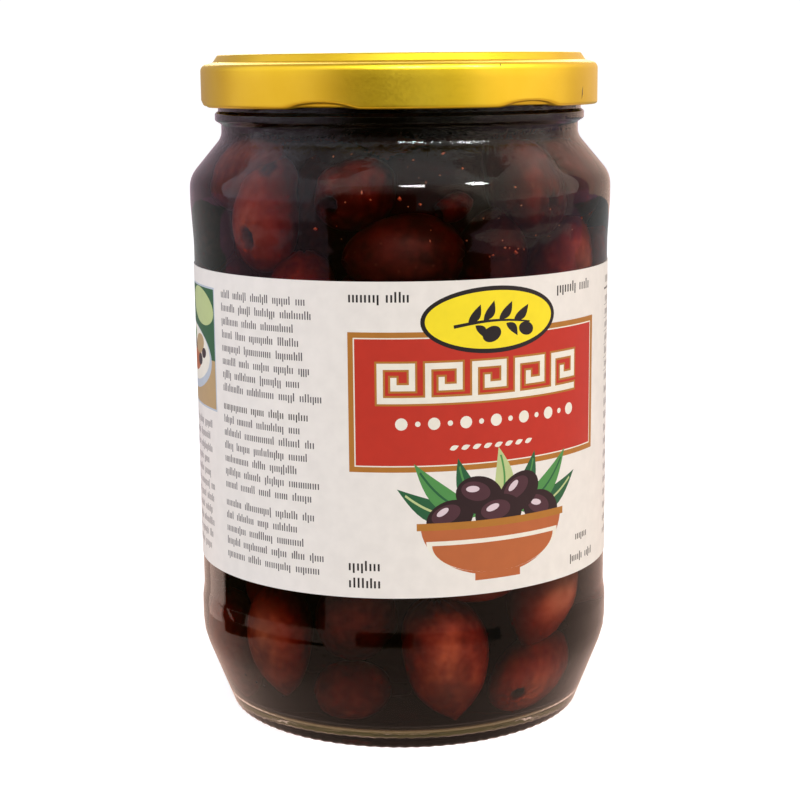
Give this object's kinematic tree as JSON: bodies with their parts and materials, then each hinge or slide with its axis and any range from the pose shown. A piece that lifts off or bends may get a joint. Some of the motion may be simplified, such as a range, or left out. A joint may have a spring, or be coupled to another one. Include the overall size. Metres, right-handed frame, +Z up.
{
  "type": "jar of olives",
  "caption": "Sealed round glass jar packed with dark pitted olives in brine, with a gold twist-off lid and a wrap-round paper label",
  "frame": {"origin": "centre of the jar's base, on the surface it stands on", "axes": "+Z up along the jar's axis; the middle of the label's front faces -Y and +X is to its right"},
  "size_m": [0.091, 0.091, 0.1429],
  "materials": {
    "clear_glass": "clear soda-lime glass, fire polished",
    "gold_lacquer": "gold lacquer on tinplate, satin",
    "label_paper": "coated label paper with flat printed colours, satin",
    "olive_skin": "wet olive skin, soft sheen",
    "brine": "clear red-brown brine"
  },
  "bodies": {
    "root": {"glass_jar": "clear_glass", "lid": "gold_lacquer", "label": "label_paper", "olives": "olive_skin"}
  },
  "joints": []
}
